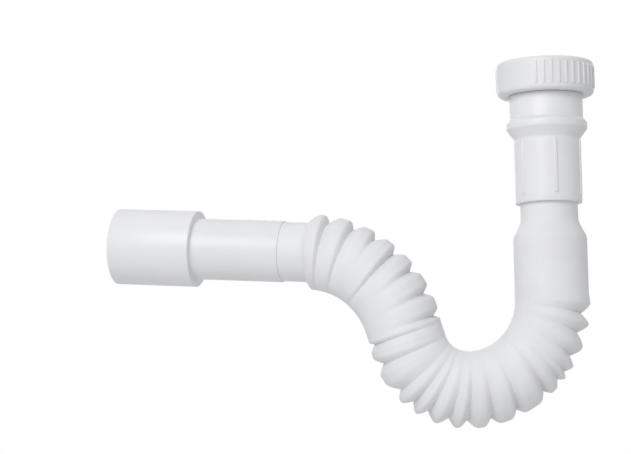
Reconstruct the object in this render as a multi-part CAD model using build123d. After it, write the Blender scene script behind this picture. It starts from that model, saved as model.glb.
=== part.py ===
import os
from math import cos, pi, sin, tan

from build123d import *

# Flexible waste pipe. Sizes in mm, +Z up along the inlet, outlet towards -X.
# The origin is on the inlet axis, on the gasket's sealing face.

# Fits
swivel_gap = 0.3
slip_gap = 0.1
seam_gap = 0.2
gasket_gap = 1.0

# Inlet thread, G 1 1/2, and coupling nut
thread_r = 24.0
thread_depth = 12.2
relief_depth = 0.6
nut_wall = 6.6
nut_lip_height = 3.5
nut_edge_width = 1.8
grip_height = 0.7
grip_width = 1.5
grip_step_angle = 9.0
grip_count = 12
grip_first_angle = -90.0
grip_end_gap = 3.6

# Sealing gasket
gasket_width = 3.0
gasket_thickness = 2.5

# Inlet tail, from the flange down to the sleeve
flange_thickness = 2.5
groove_depth = 1.4
tail_neck_wall = 3.3
tail_neck_length = 15.0
bead_height = 2.4
bead_flare_length = 2.4
bead_width = 4.0
bead_chamfer_length = 7.2
sleeve_wall = 2.9
sleeve_length = 40.0
stop_ledge_length = 2.5
rib_height = 0.8
rib_width = 1.3
rib_count = 6
rib_first_angle = -7.5
rib_end_gap = 5.0

# Corrugated pipe, straight parts
pipe_wall = 1.2
inlet_neck_r = 18.1
inlet_neck_length = 11.6
flare_length = 10.2
cuff_r = 23.2
cuff_length = 38.7
outlet_neck_r = 19.3
outlet_neck_length = 16.6

# Corrugated pipe, centreline of the bends
trap_radius_1 = 55.2
trap_turn_1 = 84.3
trap_radius_2 = 40.0
trap_turn_2 = 79.0
run_length = 16.0
shoulder_radius = 66.8
outlet_rise_angle = 4.1

# Corrugated pipe, folds: crest, depth at mid side and depth left on the closed side of a bend
crest_r = 24.2
fold_depth = 3.0
closed_depth = 0.4
steepest_flank = 2.0
end_flank_length = 3.6
folds_past_shoulder = 1.2
skin_sides = 20
bore_sides = 10
bore_mid_r = 19.0
bore_depth = 4.0
notch_places = [
    7, 16, 27.5, 35, 39.5, 48, 63.5, 76, 87, 95, 104.5, 112, 119.5, 133, 144.5,
    150, 162.5, 175.5, 187.5, 199.5, 211.5, 224.5,
]

# Outlet spigot for 40 mm and 50 mm pipe
small_end_r = 20.0
small_end_length = 58.6
large_end_r = 25.0
large_end_length = 55.2
spigot_wall = 2.2
plug_length = 13.0
plug_wall = 1.0

# Radii down the inlet, outwards from the thread and from the pipe's neck
nut_body_r = thread_r + nut_wall
relief_r = thread_r + relief_depth
gasket_r = thread_r - gasket_gap
gasket_bore_r = gasket_r - gasket_width
groove_r = gasket_r - groove_depth
lip_r = groove_r + swivel_gap
tail_neck_r = gasket_bore_r + tail_neck_wall
bead_r = tail_neck_r + bead_height
socket_r = inlet_neck_r + slip_gap
sleeve_r = socket_r + sleeve_wall
ledge_r = inlet_neck_r - pipe_wall

# Levels down the inlet
nut_top_z = thread_depth
flange_top_z = -gasket_thickness
groove_top_z = flange_top_z - flange_thickness
lip_top_z = groove_top_z - swivel_gap
nut_bottom_z = lip_top_z - nut_lip_height
tail_neck_top_z = nut_bottom_z - swivel_gap
bead_top_z = tail_neck_top_z - tail_neck_length
bead_wide_z = bead_top_z - bead_flare_length
bead_low_z = bead_wide_z - bead_width
sleeve_top_z = bead_low_z - bead_chamfer_length
sleeve_bottom_z = sleeve_top_z - sleeve_length
pipe_top_z = sleeve_top_z - stop_ledge_length
flare_top_z = sleeve_bottom_z - inlet_neck_length
cuff_top_z = flare_top_z - flare_length
bend_z = cuff_top_z - cuff_length

os.makedirs("parts", exist_ok=True)


def turned(outline):
    """Solid of revolution about Z from (radius, height) corners."""
    face = make_face(Polyline(*outline, close=True))
    return revolve(Plane.XZ * face, Axis.Z)


def bar_round(angle, radius, height, width, low_z, high_z):
    """Upright bar at an angle, standing out of a round wall by its height."""
    depth = 2 * height
    bar = Box(depth, width, high_z - low_z)
    return Rot(0, 0, angle) * Pos(radius, 0, (low_z + high_z) / 2) * bar


# Coupling nut: threaded bore, relief below it and a lip that runs in the tail's groove
nut = turned([
    (lip_r, nut_bottom_z),
    (nut_body_r - nut_edge_width, nut_bottom_z),
    (nut_body_r, nut_bottom_z + nut_edge_width),
    (nut_body_r, nut_top_z - nut_edge_width),
    (nut_body_r - nut_edge_width, nut_top_z),
    (thread_r, nut_top_z),
    (thread_r, 0),
    (relief_r, 0),
    (relief_r, lip_top_z),
    (lip_r, lip_top_z),
])
grips = []
for side in (0, 180):
    for i in range(grip_count):
        angle = grip_first_angle + side + i * grip_step_angle
        grips.append(bar_round(angle, nut_body_r, grip_height, grip_width,
                               nut_bottom_z + grip_end_gap, nut_top_z - grip_end_gap))
nut = nut + grips
export_step(nut, "parts/coupling_nut.step")

# Sealing gasket: flat washer on the tail's flange
gasket = turned([
    (gasket_bore_r, flange_top_z),
    (gasket_r, flange_top_z),
    (gasket_r, 0),
    (gasket_bore_r, 0),
])
export_step(gasket, "parts/sealing_gasket.step")

# Inlet tail: flange, swivel groove, neck, bead ring and ribbed sleeve round the pipe's neck
tail = turned([
    (gasket_bore_r, flange_top_z),
    (gasket_r, flange_top_z),
    (gasket_r, groove_top_z),
    (groove_r, groove_top_z),
    (groove_r, tail_neck_top_z),
    (tail_neck_r, tail_neck_top_z),
    (tail_neck_r, bead_top_z),
    (bead_r, bead_wide_z),
    (bead_r, bead_low_z),
    (sleeve_r, sleeve_top_z),
    (sleeve_r, sleeve_bottom_z),
    (socket_r, sleeve_bottom_z),
    (socket_r, pipe_top_z),
    (ledge_r, pipe_top_z),
    (ledge_r, bead_low_z),
    (gasket_bore_r, bead_low_z),
])
ribs = []
for i in range(rib_count):
    angle = rib_first_angle + i * 360 / rib_count
    ribs.append(bar_round(angle, sleeve_r - rib_height / 2, rib_height, rib_width,
                          sleeve_bottom_z + rib_end_gap, sleeve_top_z - rib_end_gap))
tail = tail + ribs
export_step(tail, "parts/inlet_tail.step")

# Centreline of the corrugated pipe, drawn in the XZ plane
shoulder_turn = trap_turn_1 + trap_turn_2 - 90 - outlet_rise_angle
leg = Line((0, pipe_top_z), (0, bend_z))
trap_1 = JernArc(leg @ 1, leg % 1, trap_radius_1, -trap_turn_1)
trap_2 = JernArc(trap_1 @ 1, trap_1 % 1, trap_radius_2, -trap_turn_2)
run = Line(trap_2 @ 1, (trap_2 @ 1) + run_length * (trap_2 % 1))
shoulder = JernArc(run @ 1, run % 1, shoulder_radius, shoulder_turn)
bends = Wire([trap_1.edge(), trap_2.edge(), run.edge(), shoulder.edge()])
outlet_way = shoulder % 1
outlet_from = shoulder @ 1

# Corners of the folded centreline, one at each notch; the end corners lie on the straight axes
corners = [bends.position_at(at, position_mode=PositionMode.LENGTH) for at in notch_places]
corners[0] = Vector(0, corners[0].Y)
corners[-1] = outlet_from + outlet_way * (corners[-1] - outlet_from).dot(outlet_way)
folds_end = outlet_from + outlet_way * folds_past_shoulder
pipe_end = folds_end + outlet_way * outlet_neck_length
chords = [leg % 1]
chords += [(later - earlier).normalized() for earlier, later in zip(corners, corners[1:])]
chords.append(outlet_way)


def across(centre, way, shift=0.0):
    """Plane across the centreline at a point of the XZ drawing."""
    at = centre + way * shift
    return Plane(origin=(at.X, 0, at.Y), x_dir=(0, 1, 0), z_dir=(way.X, 0, way.Y))


def circle(centre, way, radius):
    return across(centre, way).location * Wire.make_circle(radius)


def ring(sides, centre, way, shift, radius, slant=0.0, mitre=0.0):
    """Points round the pipe; slant widens the ring on the closed side, mitre leans it into a corner."""
    plane = across(centre, way, shift)
    points = []
    for i in range(sides):
        angle = 2 * pi * i / sides
        r = radius / (1 + slant * cos(angle))
        points.append(plane.from_local_coords((r * sin(angle), r * cos(angle), -mitre * r * cos(angle))))
    return points


def folded_rings(sides, mid_r, crest, start_r, end_r, depth, blunt):
    """Rings of the folds from the cuff's end to the outlet neck, mitred at each notch."""
    rings = []
    places = []
    for i, corner in enumerate(corners):
        before, after = chords[i], chords[i + 1]
        turn = before.get_signed_angle(after) * pi / 180
        mitre = tan(turn / 2)
        gaps = [(corners[k + 1] - corners[k]).length for k in (i - 1, i) if 0 <= k < len(corners) - 1]
        if blunt:
            slope = min(steepest_flank, (depth - closed_depth) / (crest * max(abs(mitre), 0.01)))
        else:
            slope = 2 * depth / max(gaps)
        places.append((corner, after, slope, mitre))
    cuff_slope = places[0][2]
    rings.append(ring(sides, corners[0], chords[0], -(start_r - mid_r) / cuff_slope, start_r))
    for i, (corner, after, slope, mitre) in enumerate(places):
        rings.append(ring(sides, corner, after, 0, mid_r, slope * mitre, mitre))
        last = i == len(places) - 1
        if last:
            length = (folds_end - corner).length
            high_slope = 2 * depth / length
        else:
            length = (corners[i + 1] - corner).length
            high_slope = places[i + 1][2]
        if blunt:
            rings.append(ring(sides, corner, after, (crest - mid_r) / slope, crest))
            top = end_flank_length if last else (crest - mid_r) / high_slope
            rings.append(ring(sides, corner, after, length - top, crest))
        else:
            peak = length * high_slope / (slope + high_slope)
            rings.append(ring(sides, corner, after, peak, mid_r + slope * peak))
    rings.append(ring(sides, folds_end, outlet_way, 0, end_r))
    return rings


def bands(rings):
    """Flat faces between neighbouring rings of points."""
    faces = []
    for lower, upper in zip(rings, rings[1:]):
        for i in range(len(lower)):
            corner_points = [lower[i - 1], lower[i], upper[i], upper[i - 1]]
            faces.append(Face(Wire.make_polygon(corner_points)))
    return faces


def pipe_skin(inset, sides, mid_r, crest, depth, blunt):
    """Whole skin of the pipe: round neck, flare and cuff, flat-sided folds, round outlet neck."""
    edge = 0.05
    start_r = cuff_r - inset - edge
    end_r = outlet_neck_r - inset - edge
    rings = folded_rings(sides, mid_r, crest, start_r, end_r, depth, blunt)
    start = Wire.make_polygon(rings[0])
    end = Wire.make_polygon(rings[-1])
    cuff_end = Vector(0, rings[0][0].Z)
    down = leg % 1
    straight = [
        circle(leg @ 0, down, inlet_neck_r - inset),
        circle(Vector(0, flare_top_z), down, inlet_neck_r - inset),
        circle(Vector(0, cuff_top_z), down, cuff_r - inset),
        circle(cuff_end, down, cuff_r - inset),
    ]
    neck = [circle(at, outlet_way, outlet_neck_r - inset) for at in (folds_end, pipe_end)]
    faces = bands(rings)
    faces.append(Face(straight[-1], [start]))
    faces.append(Face(neck[0], [end]))
    for low, high in list(zip(straight, straight[1:])) + [neck]:
        faces += Shell.make_loft([low, high], ruled=True).faces()
    return faces, straight[0], neck[1]


# Corrugated pipe: outer skin, bore and the two rims
skin, skin_top, skin_end = pipe_skin(0, skin_sides, crest_r - fold_depth, crest_r, fold_depth, True)
bore_crest_r = crest_r - pipe_wall
bore, bore_top, bore_end = pipe_skin(pipe_wall, bore_sides, bore_mid_r, bore_crest_r, bore_depth, False)
rims = [Face(skin_top, [bore_top]), Face(skin_end, [bore_end])]
pipe = Solid(Shell(skin + bore + rims))
export_step(pipe, "parts/corrugated_pipe.step")

# Outlet spigot: plug inside the pipe's neck, small end, step and large end
plug_r = outlet_neck_r - pipe_wall - slip_gap
small_bore_r = plug_r - plug_wall
large_bore_r = large_end_r - spigot_wall
spigot_end = small_end_length + large_end_length
spigot = turned([
    (small_bore_r, -plug_length),
    (plug_r, -plug_length),
    (plug_r, 0),
    (small_end_r, 0),
    (small_end_r, small_end_length),
    (large_end_r, small_end_length),
    (large_end_r, spigot_end),
    (large_bore_r, spigot_end),
    (large_bore_r, small_end_length + spigot_wall),
    (small_bore_r, small_end_length + spigot_wall),
])
spigot = across(pipe_end, outlet_way, seam_gap).location * spigot
export_step(spigot, "parts/outlet_spigot.step")
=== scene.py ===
from math import atan2, cos, degrees, pi, radians, sin

import bpy
from mathutils import Matrix, Vector


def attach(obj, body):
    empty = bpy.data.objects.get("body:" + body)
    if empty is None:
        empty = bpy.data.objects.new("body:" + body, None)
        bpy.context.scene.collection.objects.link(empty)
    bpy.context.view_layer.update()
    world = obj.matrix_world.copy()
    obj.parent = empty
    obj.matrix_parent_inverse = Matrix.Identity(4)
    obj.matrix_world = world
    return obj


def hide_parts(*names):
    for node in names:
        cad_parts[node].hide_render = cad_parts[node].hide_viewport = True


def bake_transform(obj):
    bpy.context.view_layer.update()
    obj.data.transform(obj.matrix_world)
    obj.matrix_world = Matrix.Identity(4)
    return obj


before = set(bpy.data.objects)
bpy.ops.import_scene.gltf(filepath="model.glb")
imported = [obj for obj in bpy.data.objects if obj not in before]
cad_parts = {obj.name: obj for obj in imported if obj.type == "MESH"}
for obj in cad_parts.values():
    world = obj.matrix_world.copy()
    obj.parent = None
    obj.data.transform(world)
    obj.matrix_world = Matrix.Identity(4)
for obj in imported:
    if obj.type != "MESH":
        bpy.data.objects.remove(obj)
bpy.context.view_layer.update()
mm = 0.001
bpy.context.scene.view_settings.view_transform = "Standard"
print("frame loaded:", sorted(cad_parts))


# drawing tools, lengths in mm

toolSet = {
    "weld": 1e-6,  # in metres
    "least": 1e-6,  # a smaller growth or turn is left out
    "ringReach": 0.02, "wallReach": 0.2,  # how near an edge or a face has to lie to be picked
    "barTop": 0.8,  # share of a bar's height over which its edges count as its top
}


def makeActive(piece):
    bpy.ops.object.select_all(action="DESELECT")
    piece.select_set(True)
    bpy.context.view_layer.objects.active = piece


def startRing(name, sides, radius, height):
    # a bare circle on the Z axis, left in edit mode with its edge selected
    bpy.ops.object.select_all(action="DESELECT")
    bpy.ops.mesh.primitive_circle_add(vertices=sides, radius=radius * mm, fill_type="NOTHING",
                                      location=(0, 0, height * mm))
    piece = bpy.context.object
    piece.name = name
    piece.data.name = name
    bpy.ops.object.transform_apply(location=True, rotation=True, scale=True)
    bpy.ops.object.mode_set(mode="EDIT")
    bpy.ops.mesh.select_mode(type="EDGE")
    bpy.ops.mesh.select_all(action="SELECT")
    return piece


def nextRing(move, centre, grow, turn=0.0):
    # pulls the selected edge ring on, then sizes and turns it about its new centre
    bpy.ops.mesh.extrude_region_move(TRANSFORM_OT_translate={"value": move})
    if abs(grow - 1) > toolSet["least"]:
        bpy.ops.transform.resize(value=(grow, grow, grow), center_override=centre)
    if abs(turn) > toolSet["least"]:
        bpy.ops.transform.rotate(value=turn, orient_axis="Y", center_override=centre)


def weldAndFaceOut():
    bpy.ops.mesh.select_all(action="SELECT")
    bpy.ops.mesh.remove_doubles(threshold=toolSet["weld"])
    bpy.ops.mesh.normals_make_consistent(inside=False)


def turnProfile(name, sides, profile):
    # a turned piece from (radius, height) points, pulled up ring by ring and closed to a ring of wall
    radius, height = profile[0]
    piece = startRing(name, sides, radius, height)
    for newRadius, newHeight in profile[1:]:
        nextRing((0, 0, (newHeight - height) * mm), (0, 0, newHeight * mm), newRadius / radius)
        radius, height = newRadius, newHeight
    bpy.ops.mesh.select_all(action="DESELECT")
    bpy.ops.mesh.select_non_manifold()
    bpy.ops.mesh.bridge_edge_loops()
    weldAndFaceOut()
    bpy.ops.object.mode_set(mode="OBJECT")
    return piece


def pick(piece, mode, wanted):
    # goes into edit mode with the faces or edges selected that the test accepts
    makeActive(piece)
    bpy.ops.object.mode_set(mode="EDIT")
    bpy.ops.mesh.select_mode(type=mode)
    bpy.ops.mesh.select_all(action="DESELECT")
    bpy.ops.object.mode_set(mode="OBJECT")
    mesh = piece.data
    if mode == "FACE":
        for face in mesh.polygons:
            face.select = wanted(face.center / mm)
    else:
        for edge in mesh.edges:
            first, second = (mesh.vertices[v].co / mm for v in edge.vertices)
            if wanted(first, second):
                edge.select = True
    bpy.ops.object.mode_set(mode="EDIT")


def pickAll(piece):
    makeActive(piece)
    bpy.ops.object.mode_set(mode="EDIT")
    bpy.ops.mesh.select_mode(type="FACE")
    bpy.ops.mesh.select_all(action="SELECT")


def roundRings(piece, settings):
    # rounds the edge rings that the settings list by radius, height, width and segments
    reach = toolSet["ringReach"]
    for radiusName, heightName, width, segments in settings["edges"]:
        radius, height = settings[radiusName], settings[heightName]

        def onRing(*ends):
            return all(abs(end.xy.length - radius) < reach and abs(end.z - height) < reach
                       for end in ends)
        pick(piece, "EDGE", onRing)
        bpy.ops.mesh.bevel(offset=width * mm, segments=segments, profile=0.5, affect="EDGES")
        bpy.ops.object.mode_set(mode="OBJECT")


def angleOff(point, angle):
    # degrees between a point's angle round Z and another angle
    return (degrees(atan2(point.y, point.x)) - angle + 180) % 360 - 180


def raiseBars(piece, radius, angles, bars):
    # pulls narrow upright bars out of a round wall and softens their edges
    def onBar(centre):
        near = any(abs(angleOff(centre, angle)) < bars["halfAngle"] for angle in angles)
        onWall = abs(centre.xy.length - radius) < toolSet["wallReach"]
        return near and onWall and bars["low"] < centre.z < bars["high"]
    pick(piece, "FACE", onBar)
    bpy.ops.mesh.extrude_region_shrink_fatten(
        TRANSFORM_OT_shrink_fatten={"value": bars["height"] * mm})
    bpy.ops.object.mode_set(mode="OBJECT")
    top = radius + toolSet["barTop"] * bars["height"]

    def onTop(first, second):
        return first.xy.length > top and second.xy.length > top
    pick(piece, "EDGE", onTop)
    bpy.ops.mesh.region_to_loop()
    bpy.ops.mesh.bevel(offset=bars["edge"] * mm, segments=2, affect="EDGES")
    bpy.ops.object.mode_set(mode="OBJECT")


def smoothOff(piece, angle):
    makeActive(piece)
    bpy.ops.object.shade_smooth_by_angle(angle=radians(angle))


# finishes

skinSet = {
    "glowRadius": (1.0, 1.0, 1.1), "glowDepth": 2.0, "toneLow": 0.3, "toneHigh": 0.7,
    "smoother": 0.06, "rougher": 0.08,  # how far the roughness strays
    "cloudDetail": 4.0, "patchDetail": 6.0, "grainDetail": 3.0, "rippleDetail": 2.0,
}
finishSet = {
    "mouldedWhite": {
        "colour": (0.79, 0.79, 0.80), "rough": 0.37, "ior": 1.49, "gloss": 0.5, "glow": 0.05,
        "shade": 0.965, "cloudScale": 22.0, "patchScale": 60.0, "grainScale": 1400.0,
        "grainHeight": 0.012, "rippleScale": 90.0, "rippleHeight": 0.03,
    },
    "nutWhite": {
        "colour": (0.755, 0.755, 0.765), "rough": 0.42, "ior": 1.49, "gloss": 0.4, "glow": 0.05,
        "shade": 0.965, "cloudScale": 26.0, "patchScale": 70.0, "grainScale": 1400.0,
        "grainHeight": 0.012, "rippleScale": 100.0, "rippleHeight": 0.03,
    },
    "bellowsWhite": {
        "colour": (0.80, 0.80, 0.81), "rough": 0.55, "ior": 1.49, "gloss": 0.35, "glow": 0.08,
        "shade": 0.95, "cloudScale": 35.0, "patchScale": 45.0, "grainScale": 900.0,
        "grainHeight": 0.02, "rippleScale": 120.0, "rippleHeight": 0.10,
    },
    "blackRubber": {
        "colour": (0.022, 0.022, 0.024), "rough": 0.72, "ior": 1.5, "gloss": 0.3, "glow": 0.0,
        "shade": 0.7, "cloudScale": 120.0, "patchScale": 200.0, "grainScale": 2500.0,
        "grainHeight": 0.03, "rippleScale": 200.0, "rippleHeight": 0.03,
    },
}


def newFinish(name, colour, rough):
    finish = bpy.data.materials.new(name)
    finish.use_nodes = True
    shader = finish.node_tree.nodes["Principled BSDF"]
    shader.inputs["Base Color"].default_value = (*colour, 1)
    shader.inputs["Roughness"].default_value = rough
    return finish


def noise(nodes, links, place, scale, detail):
    made = nodes.new("ShaderNodeTexNoise")
    made.inputs["Scale"].default_value = scale
    made.inputs["Detail"].default_value = detail
    links.new(place.outputs["Object"], made.inputs["Vector"])
    return made


def moulded(name, settings):
    # moulded plastic or rubber: faint cloudy tone, uneven gloss, fine skin grain over slow ripples
    s = skinSet
    finish = newFinish(name, settings["colour"], settings["rough"])
    nodes, links = finish.node_tree.nodes, finish.node_tree.links
    shader = nodes["Principled BSDF"]
    shader.inputs["IOR"].default_value = settings["ior"]
    shader.inputs["Specular IOR Level"].default_value = settings["gloss"]
    shader.inputs["Subsurface Weight"].default_value = settings["glow"]
    shader.inputs["Subsurface Radius"].default_value = s["glowRadius"]
    shader.inputs["Subsurface Scale"].default_value = s["glowDepth"] * mm
    place = nodes.new("ShaderNodeTexCoord")
    cloud = noise(nodes, links, place, settings["cloudScale"], s["cloudDetail"])
    tone = nodes.new("ShaderNodeValToRGB")
    dark, light = tone.color_ramp.elements
    dark.position, light.position = s["toneLow"], s["toneHigh"]
    dark.color = (*[c * settings["shade"] for c in settings["colour"]], 1)
    light.color = (*settings["colour"], 1)
    links.new(cloud.outputs["Fac"], tone.inputs["Fac"])
    links.new(tone.outputs["Color"], shader.inputs["Base Color"])
    patch = noise(nodes, links, place, settings["patchScale"], s["patchDetail"])
    wear = nodes.new("ShaderNodeMapRange")
    wear.inputs["To Min"].default_value = settings["rough"] - s["smoother"]
    wear.inputs["To Max"].default_value = settings["rough"] + s["rougher"]
    links.new(patch.outputs["Fac"], wear.inputs["Value"])
    links.new(wear.outputs["Result"], shader.inputs["Roughness"])
    grain = noise(nodes, links, place, settings["grainScale"], s["grainDetail"])
    ripple = noise(nodes, links, place, settings["rippleScale"], s["rippleDetail"])
    relief = nodes.new("ShaderNodeMath")
    relief.operation = "MULTIPLY_ADD"
    relief.inputs[1].default_value = settings["rippleHeight"] / settings["grainHeight"]
    links.new(ripple.outputs["Fac"], relief.inputs[0])
    links.new(grain.outputs["Fac"], relief.inputs[2])
    bump = nodes.new("ShaderNodeBump")
    bump.inputs["Distance"].default_value = settings["grainHeight"] * mm
    links.new(relief.outputs["Value"], bump.inputs["Height"])
    links.new(bump.outputs["Normal"], shader.inputs["Normal"])
    return finish


def putFinish(piece, finish):
    piece.data.materials.clear()
    piece.data.materials.append(finish)
    for face in piece.data.polygons:
        face.material_index = 0


finishes = {name: moulded(name, settings) for name, settings in finishSet.items()}
print("finishes mixed:", sorted(finishes))


# corrugated pipe: a plain tube pulled along the bends, then its grooves pressed in

pipeSet = {
    "sides": 96, "wall": 1.2, "smooth": 50, "bendStart": -138.2,
    "bends": [(55.2, -84.3), (40.0, -79.0), (16.0, 0.0), (66.8, 69.2)],  # radius, turn; a run turns 0
    # height and radius down the inlet neck, the flare and the cuff
    "inletRings": [
        (-40.2, 18.1), (-75.3, 18.1), (-86.3, 18.1), (-88.5, 18.2), (-90.3, 18.75), (-94.3, 20.6),
        (-97.9, 22.5), (-99.3, 22.98), (-101.1, 23.2), (-111.5, 23.2), (-135.2, 23.2),
    ],
    # place after the last fold and radius, along the outlet neck
    "outletNeck": 16.6,
    "outletRings": [
        (-1.9, 21.9), (-0.6, 20.4), (0.4, 19.65), (1.6, 19.35), (4, 19.3), (12.6, 19.3), (16.6, 19.3),
    ],
    # crest radius, and lean of the rings towards the back, by place along the bends
    "crests": [
        (-3, 23.2), (20, 23.4), (60, 23.6), (95, 24.2), (120, 23.8), (160, 24.1), (240, 24.2),
    ],
    "leans": [
        (-3, 0.0), (30, 0.15), (60, 0.32), (110, 0.3), (140, 0.12), (190, 0.14), (225, 0.06),
        (240, 0.0),
    ],
    "foldsStart": -3.0, "foldsEnd": 234.3, "flankCurve": 1.2, "tip": 0.7, "tipFade": 2,
    # grooves: place along the bends, depth, fade round the pipe, open side (0 left, 180 right),
    # and the share of half a fold that the flank takes before and after the groove
    "grooves": [
        (7, 5.2, 3.0, 0, 0.9, 0.9), (16, 5.6, 3.8, 0, 0.9, 0.9), (27.5, 5.0, 4.5, 0, 0.8, 0.9),
        (35, 2.8, 8.0, 0, 0.9, 0.9), (39.5, 3.4, 5.0, 0, 0.9, 0.8), (48, 4.6, 1.5, 0, 0.6, 0.5),
        (63.5, 4.6, 1.5, 0, 0.5, 0.5), (76, 4.6, 1.4, 0, 0.65, 0.65), (87, 4.8, 1.3, 0, 0.8, 0.8),
        (95, 4.8, 1.2, 0, 0.9, 0.9), (104.5, 4.8, 1.1, 0, 0.9, 0.9), (112, 4.8, 1.0, 0, 0.9, 0.9),
        (119.5, 4.8, 0.9, 0, 0.7, 0.8), (133, 4.6, 0.8, 0, 0.55, 0.55), (144.5, 3.2, 0.6, 0, 0.7, 0.7),
        (150, 3.8, 3.4, 180, 0.95, 0.6), (162.5, 4.6, 3.8, 180, 0.6, 0.5),
        (175.5, 4.6, 4.2, 180, 0.65, 0.45), (187.5, 4.9, 0.8, 180, 0.75, 0.4),
        (199.5, 4.9, 7.0, 180, 0.85, 0.36), (211.5, 4.9, 0.7, 180, 0.85, 0.36),
        (224.5, 4.9, 0.7, 180, 0.85, 0.4),
    ],
    # shares across a fold that get a ring, fewer in a narrow one
    "foldRings": (0.07, 0.15, 0.22, 0.28, 0.36, 0.44, 0.5, 0.56, 0.64, 0.72, 0.78, 0.85, 0.93),
    "narrowRings": (0.12, 0.28, 0.42, 0.5, 0.58, 0.72, 0.88), "narrow": 8.6,
    "firstShare": 0.5, "lastShare": 0.6,  # where the first fold starts and the last one ends
    "shoulder": 3, "blendBefore": 2, "blendShort": 4,  # the bend that swings, and its ends
}


def bendLengths():
    return [size * radians(abs(turn)) if turn else size for size, turn in pipeSet["bends"]]


def pathAt(distance):
    # centre (x, z) and heading in radians, by distance from where the bends start
    x, z, heading = 0.0, pipeSet["bendStart"], -pi / 2
    if distance < 0:
        return x, z - distance, heading
    left = distance
    for (size, turn), length in zip(pipeSet["bends"], bendLengths()):
        step = min(left, length)
        if turn:
            side = 1 if turn > 0 else -1
            newHeading = heading + side * step / size
            x += side * size * (sin(newHeading) - sin(heading))
            z -= side * size * (cos(newHeading) - cos(heading))
            heading = newHeading
        else:
            x += step * cos(heading)
            z += step * sin(heading)
        left -= step
    return x + left * cos(heading), z + left * sin(heading), heading


def valueAt(name, distance):
    # a setting of the folds, evenly between its set places
    places = pipeSet[name]
    for (start, low), (end, high) in zip(places, places[1:]):
        if distance <= end:
            return low + (high - low) * (distance - start) / (end - start)
    return places[-1][1]


def pipeRings():
    # (distance, radius, fold number, share across the fold) of every ring
    s = pipeSet
    rings = [(s["bendStart"] - height, radius, None, 0) for height, radius in s["inletRings"]]
    places = [s["foldsStart"]] + [groove[0] for groove in s["grooves"]] + [s["foldsEnd"]]
    lastFold = len(places) - 2
    for fold, (start, end) in enumerate(zip(places, places[1:])):
        if fold > 0:
            rings.append((start, valueAt("crests", start), fold, 0.0))
        for share in s["foldRings"] if end - start > s["narrow"] else s["narrowRings"]:
            tooSoon = fold == 0 and share < s["firstShare"]
            tooLate = fold == lastFold and share > s["lastShare"]
            if not tooSoon and not tooLate:
                place = start + share * (end - start)
                rings.append((place, valueAt("crests", place), fold, share))
    return rings + [(s["foldsEnd"] + along, radius, None, 0) for along, radius in s["outletRings"]]


def skinRise(fold, share, angle):
    # height of the skin over the crest radius, at an angle from the pipe's left side
    s = pipeSet
    grooves = s["grooves"]
    before, after = fold - 1, fold  # the grooves on either side of the fold
    number = before if share < 0.5 else after
    if not 0 <= number < len(grooves):
        return 0.0
    depth, fade, side, flankBefore, flankAfter = grooves[number][1:]
    flank = flankAfter if share < 0.5 else flankBefore
    opening = (1 + cos(angle - radians(side))) / 2
    fall = max(0.0, 1 - min(share, 1 - share) * 2 / flank) ** s["flankCurve"]
    rise = -depth * opening ** fade * fall
    sides = [groove[3] for groove in grooves]
    if sides[max(before, 0)] == sides[min(after, len(grooves) - 1)]:
        rise += s["tip"] * opening ** s["tipFade"] * (1 - fall)
    return rise


def pressGrooves(piece, rings):
    # moves each point of the folds in towards its ring's centre, and leans the ring
    sides = pipeSet["sides"]
    for number, (distance, radius, fold, share) in enumerate(rings):
        if fold is None:
            continue
        x, z, heading = pathAt(distance)
        centre = Vector((x, 0, z)) * mm
        left = Vector((-sin(heading), 0, cos(heading)))
        lean = Vector((cos(heading), 0, sin(heading))) * valueAt("leans", distance)
        for point in piece.data.vertices[number * sides:(number + 1) * sides]:
            arm = point.co - centre
            angle = atan2(arm.y, arm.dot(left))
            point.co = centre + arm.normalized() * (radius + skinRise(fold, share, angle)) * mm
            point.co += lean * point.co.y


def makePipe():
    s = pipeSet
    rings = pipeRings()
    top, radius = s["inletRings"][0]
    piece = startRing("corrugatedPipe", s["sides"], radius, top)
    centre, heading = Vector((0, 0, top * mm)), -pi / 2
    for distance, newRadius, fold, share in rings[1:]:
        x, z, newHeading = pathAt(distance)
        newCentre = Vector((x, 0, z)) * mm
        nextRing(newCentre - centre, newCentre, newRadius / radius, newHeading - heading)
        centre, heading, radius = newCentre, newHeading, newRadius
    bpy.ops.object.mode_set(mode="OBJECT")
    pressGrooves(piece, rings)
    pickAll(piece)
    weldAndFaceOut()
    bpy.ops.object.mode_set(mode="OBJECT")
    wall = piece.modifiers.new("wall", "SOLIDIFY")
    wall.thickness = s["wall"] * mm
    wall.offset = -1
    bpy.ops.object.modifier_apply(modifier=wall.name)
    smoothOff(piece, s["smooth"])
    return piece


corrugatedPipe = makePipe()
putFinish(corrugatedPipe, finishes["bellowsWhite"])
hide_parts("corrugated_pipe")
runEnd, shoulderEnd = sum(bendLengths()[:pipeSet["shoulder"]]), sum(bendLengths())
bendFrom, bendTo = pathAt(runEnd - pipeSet["blendBefore"]), pathAt(shoulderEnd - pipeSet["blendShort"])
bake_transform(corrugatedPipe)
print("corrugated pipe:", len(corrugatedPipe.data.polygons), "faces")


# coupling nut: turned ring with a lip, rounded edges, grip bars on two sides and a thread inside

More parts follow.
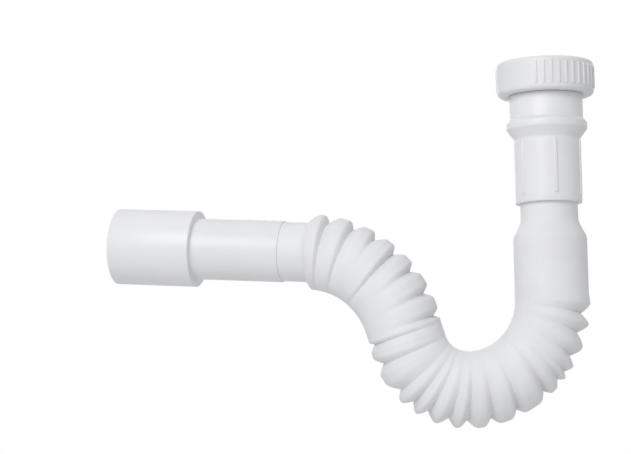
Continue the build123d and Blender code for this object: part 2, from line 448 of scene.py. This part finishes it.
nutSet = {
    "sides": 240, "smooth": 35, "top": 12.2, "bottom": -8.8, "bodyR": 30.6,
    "lipR": 21.9, "lipTop": -5.3, "threadR": 24.0, "threadLow": 0.0, "reliefR": 24.6,
    "edges": [("bodyR", "top", 2.2, 5), ("bodyR", "bottom", 2.4, 5), ("threadR", "top", 0.8, 2),
              ("lipR", "bottom", 0.5, 2)],
    "gripFirst": -93.0, "gripStep": 9.0, "gripCount": 12, "gripSides": (0, 180),
    "grips": {"halfAngle": 1.4, "low": -5.2, "high": 8.9, "height": 0.7, "edge": 0.3},
}
threadSet = {
    "pitch": 2.309, "depth": 1.45, "root": 0.3, "foot": 0.84, "tip": 0.36, "turns": 4, "start": 1.3,
    "steps": 96,
}


def makeNut():
    s = nutSet
    grips = s["grips"]
    nut = turnProfile("couplingNut", s["sides"], [
        (s["lipR"], s["bottom"]), (s["bodyR"], s["bottom"]), (s["bodyR"], grips["low"]),
        (s["bodyR"], grips["high"]), (s["bodyR"], s["top"]), (s["threadR"], s["top"]),
        (s["threadR"], s["threadLow"]), (s["reliefR"], s["threadLow"]), (s["reliefR"], s["lipTop"]),
        (s["lipR"], s["lipTop"]),
    ])
    roundRings(nut, s)
    angles = [s["gripFirst"] + side + i * s["gripStep"]
              for side in s["gripSides"] for i in range(s["gripCount"])]
    raiseBars(nut, s["bodyR"], angles, grips)
    return nut


def makeThread():
    # one ridge wound up the bore by the Screw modifier, its ends capped
    s = threadSet
    wide, tall = s["depth"] + s["root"], s["pitch"] * s["foot"]
    middle = nutSet["threadR"] + s["root"] - wide / 2
    start = s["start"] * mm
    bpy.ops.object.select_all(action="DESELECT")
    bpy.ops.mesh.primitive_plane_add(size=mm, location=(0, 0, 0), rotation=(pi / 2, 0, 0))
    ridge = bpy.context.object
    ridge.name = "nutThread"
    bpy.ops.object.transform_apply(location=True, rotation=True, scale=True)
    pickAll(ridge)
    bpy.ops.transform.resize(value=(wide, 1, tall), center_override=(0, 0, 0))
    bpy.ops.transform.translate(value=(middle * mm, 0, start))
    bpy.ops.object.mode_set(mode="OBJECT")
    pick(ridge, "EDGE", lambda first, second: max(first.x, second.x) < middle)
    bpy.ops.transform.resize(value=(1, 1, s["tip"] / tall), center_override=(0, 0, start))
    bpy.ops.object.mode_set(mode="OBJECT")
    pickAll(ridge)
    bpy.ops.mesh.delete(type="ONLY_FACE")
    bpy.ops.object.mode_set(mode="OBJECT")
    wind = ridge.modifiers.new("wind", "SCREW")
    wind.axis = "Z"
    wind.angle = 2 * pi
    wind.screw_offset = s["pitch"] * mm
    wind.iterations = s["turns"]
    wind.steps = wind.render_steps = s["steps"]
    wind.use_merge_vertices = False
    bpy.ops.object.modifier_apply(modifier=wind.name)
    bpy.ops.object.mode_set(mode="EDIT")
    bpy.ops.mesh.select_mode(type="EDGE")
    bpy.ops.mesh.select_all(action="DESELECT")
    bpy.ops.mesh.select_non_manifold()
    bpy.ops.mesh.fill_holes(sides=4)
    bpy.ops.mesh.select_all(action="SELECT")
    bpy.ops.mesh.normals_make_consistent(inside=False)
    bpy.ops.object.mode_set(mode="OBJECT")
    return ridge


def joinInto(piece, other):
    makeActive(piece)
    other.select_set(True)
    bpy.ops.object.join()


couplingNut = makeNut()
joinInto(couplingNut, makeThread())
smoothOff(couplingNut, nutSet["smooth"])
putFinish(couplingNut, finishes["nutWhite"])
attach(couplingNut, "nut")
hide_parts("coupling_nut")
print("coupling nut:", len(couplingNut.data.polygons), "faces")


# inlet tail: flange, swivel groove, neck, bead ring and ribbed sleeve

tailSet = {
    "sides": 180, "smooth": 35, "boreR": 20.0, "flangeR": 23.0, "flangeTop": -2.5, "flangeLow": -5.0,
    "grooveR": 21.6, "neckTop": -8.9, "neckR": 23.3,
    "beadTop": -24.1, "beadR": 25.7, "beadWide": -26.5, "beadLow": -30.5,
    "sleeveTop": -36.7, "sleeveR": 21.1, "sleeveLow": -77.7,
    "socketR": 18.2, "ledgeR": 16.9, "ledgeLow": -40.2,
    "edges": [("neckR", "beadTop", 0.4, 2), ("beadR", "beadWide", 0.5, 3), ("beadR", "beadLow", 0.9, 3),
              ("sleeveR", "sleeveTop", 0.5, 2), ("sleeveR", "sleeveLow", 0.5, 3),
              ("neckR", "neckTop", 0.3, 2)],
    "ribFirst": -9.0, "ribCount": 6,
    "ribs": {"halfAngle": 2.5, "low": -72.7, "high": -38.4, "height": 0.8, "edge": 0.4},
}


def makeTail():
    s = tailSet
    ribs = s["ribs"]
    tail = turnProfile("inletTail", s["sides"], [
        (s["boreR"], s["flangeTop"]), (s["flangeR"], s["flangeTop"]), (s["flangeR"], s["flangeLow"]),
        (s["grooveR"], s["flangeLow"]), (s["grooveR"], s["neckTop"]), (s["neckR"], s["neckTop"]),
        (s["neckR"], s["beadTop"]), (s["beadR"], s["beadWide"]), (s["beadR"], s["beadLow"]),
        (s["sleeveR"], s["sleeveTop"]), (s["sleeveR"], ribs["high"]), (s["sleeveR"], ribs["low"]),
        (s["sleeveR"], s["sleeveLow"]), (s["socketR"], s["sleeveLow"]), (s["socketR"], s["ledgeLow"]),
        (s["ledgeR"], s["ledgeLow"]), (s["ledgeR"], s["beadLow"]), (s["boreR"], s["beadLow"]),
    ])
    roundRings(tail, s)
    angles = [s["ribFirst"] + i * 360 / s["ribCount"] for i in range(s["ribCount"])]
    raiseBars(tail, s["sleeveR"], angles, ribs)
    smoothOff(tail, s["smooth"])
    return tail


inletTail = makeTail()
putFinish(inletTail, finishes["mouldedWhite"])
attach(inletTail, "pipe")
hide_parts("inlet_tail")
print("inlet tail:", len(inletTail.data.polygons), "faces")


# sealing gasket: flat rubber washer with soft edges

gasketSet = {
    "sides": 120, "smooth": 40, "outR": 23.0, "boreR": 20.0, "low": -2.5, "high": 0.0,
    "edges": [("boreR", "low", 0.35, 2), ("boreR", "high", 0.35, 2), ("outR", "low", 0.35, 2),
              ("outR", "high", 0.35, 2)],
}


def makeGasket():
    s = gasketSet
    gasket = turnProfile("sealingGasket", s["sides"], [
        (s["boreR"], s["low"]), (s["outR"], s["low"]), (s["outR"], s["high"]), (s["boreR"], s["high"]),
    ])
    roundRings(gasket, s)
    smoothOff(gasket, s["smooth"])
    return gasket


sealingGasket = makeGasket()
putFinish(sealingGasket, finishes["blackRubber"])
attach(sealingGasket, "pipe")
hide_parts("sealing_gasket")
print("sealing gasket:", len(sealingGasket.data.polygons), "faces")


# outlet spigot: plug, narrow length, step and wide end, turned upright, then laid on the outlet's line

spigotSet = {
    "sides": 160, "smooth": 35, "boreR": 17.0, "plugR": 18.0, "smallR": 20.0, "largeR": 25.0,
    "largeBoreR": 22.8, "plugLow": -13.0, "foot": 0.0, "step": 58.6, "stepInside": 60.8, "end": 113.8,
    "edges": [("smallR", "foot", 0.4, 2), ("smallR", "step", 0.6, 3), ("largeR", "step", 0.6, 3),
              ("largeR", "end", 0.8, 3), ("largeBoreR", "end", 0.5, 2)],
    "seam": 0.05,
}


def makeSpigot():
    s = spigotSet
    spigot = turnProfile("outletSpigot", s["sides"], [
        (s["boreR"], s["plugLow"]), (s["plugR"], s["plugLow"]), (s["plugR"], s["foot"]),
        (s["smallR"], s["foot"]), (s["smallR"], s["step"]), (s["largeR"], s["step"]),
        (s["largeR"], s["end"]), (s["largeBoreR"], s["end"]), (s["largeBoreR"], s["stepInside"]),
        (s["boreR"], s["stepInside"]),
    ])
    roundRings(spigot, s)
    x, z, heading = pathAt(pipeSet["foldsEnd"] + pipeSet["outletNeck"] + s["seam"])
    pickAll(spigot)
    bpy.ops.transform.rotate(value=heading - pi / 2, orient_axis="Y", center_override=(0, 0, 0))
    bpy.ops.transform.translate(value=(x * mm, 0, z * mm))
    bpy.ops.object.mode_set(mode="OBJECT")
    smoothOff(spigot, s["smooth"])
    return spigot


outletSpigot = makeSpigot()
putFinish(outletSpigot, finishes["mouldedWhite"])
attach(outletSpigot, "outlet")
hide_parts("outlet_spigot")
print("outlet spigot:", len(outletSpigot.data.polygons), "faces")


# camera and light

cameraSet = {
    "azimuth": 14.0, "elevation": -6.08, "roll": -1.12, "distance": 1314.0,
    "target": (-152.4, 0.0, -85.6), "lens": 115.31, "sensor": 36, "nearest": 0.05,
}


def makeCamera():
    s = cameraSet
    azimuth, elevation, roll = radians(s["azimuth"]), radians(s["elevation"]), radians(s["roll"])
    back = Vector((sin(azimuth) * cos(elevation), -cos(azimuth) * cos(elevation), sin(elevation)))
    right = Vector((cos(azimuth), sin(azimuth), 0))
    up = back.cross(right)
    across = right * cos(roll) + up * sin(roll)
    upright = up * cos(roll) - right * sin(roll)
    camera = bpy.data.objects.new("camera", bpy.data.cameras.new("camera"))
    bpy.context.scene.collection.objects.link(camera)
    camera.data.lens = s["lens"]
    camera.data.sensor_width = s["sensor"]
    camera.data.clip_start = s["nearest"]
    turned = Matrix((across, upright, back)).transposed().to_4x4()
    turned.translation = (Vector(s["target"]) + back * s["distance"]) * mm
    camera.matrix_world = turned
    bpy.context.scene.camera = camera


# in metres and watts
studioSet = {
    "fill": 0.51, "fillColour": (0.98, 0.99, 1.0, 1), "paperColour": (1, 1, 1, 1),
    "floorRadius": 4.5, "floorSides": 128, "floorPlace": (-0.15, 0, -0.30),
    "floorColour": (0.88, 0.88, 0.88), "floorRough": 0.9,
    "lamps": [  # name, place, aim, size, power, share of gloss
        ("keyLight", (-0.30, -1.35, 0.62), (-0.15, 0, 0.55), 1.0, 12.1, 1.0),
        ("topLight", (-0.3, 0.1, 1.1), (-0.15, 0, -0.1), 0.9, 1.2, 1.0),
        ("backLight", (-0.47, 1.27, 0.10), (-0.15, 0, 0.1), 0.7, 2.0, 0.0),
    ],
}


def addLamp(name, place, aim, size, power, gloss):
    bpy.ops.object.select_all(action="DESELECT")
    bpy.ops.object.light_add(type="AREA", location=place)
    lamp = bpy.context.object
    lamp.name = name
    lamp.data.shape = "DISK"
    lamp.data.size = size
    lamp.data.energy = power
    lamp.data.specular_factor = gloss
    lamp.visible_camera = False
    lamp.rotation_mode = "QUATERNION"
    lamp.rotation_quaternion = (Vector(aim) - Vector(place)).to_track_quat("-Z", "Y")


def makeWorld():
    # soft fill light, with white paper where the camera, a reflection or a see-through ray looks
    s = studioSet
    world = bpy.data.worlds.new("studio")
    bpy.context.scene.world = world
    world.use_nodes = True
    nodes, links = world.node_tree.nodes, world.node_tree.links
    nodes.clear()
    fill = nodes.new("ShaderNodeBackground")
    fill.inputs["Color"].default_value = s["fillColour"]
    fill.inputs["Strength"].default_value = s["fill"]
    paper = nodes.new("ShaderNodeBackground")
    paper.inputs["Color"].default_value = s["paperColour"]
    rays = nodes.new("ShaderNodeLightPath")
    mix = nodes.new("ShaderNodeMixShader")
    out = nodes.new("ShaderNodeOutputWorld")
    seen = rays.outputs["Is Camera Ray"]
    for kind in ("Is Glossy Ray", "Is Transmission Ray"):
        either = nodes.new("ShaderNodeMath")
        either.operation = "MAXIMUM"
        links.new(seen, either.inputs[0])
        links.new(rays.outputs[kind], either.inputs[1])
        seen = either.outputs["Value"]
    links.new(seen, mix.inputs["Fac"])
    links.new(fill.outputs["Background"], mix.inputs[1])
    links.new(paper.outputs["Background"], mix.inputs[2])
    links.new(mix.outputs["Shader"], out.inputs["Surface"])


def makeFloor():
    s = studioSet
    bpy.ops.object.select_all(action="DESELECT")
    bpy.ops.mesh.primitive_circle_add(vertices=s["floorSides"], radius=s["floorRadius"],
                                      fill_type="NGON", location=s["floorPlace"])
    floor = bpy.context.object
    floor.name = "floor"
    bpy.ops.object.transform_apply(location=True, rotation=True, scale=True)
    floor.data.materials.append(newFinish("paleFloor", s["floorColour"], s["floorRough"]))


makeCamera()
makeWorld()
makeFloor()
for lampValues in studioSet["lamps"]:
    addLamp(*lampValues)
print("camera and light set")
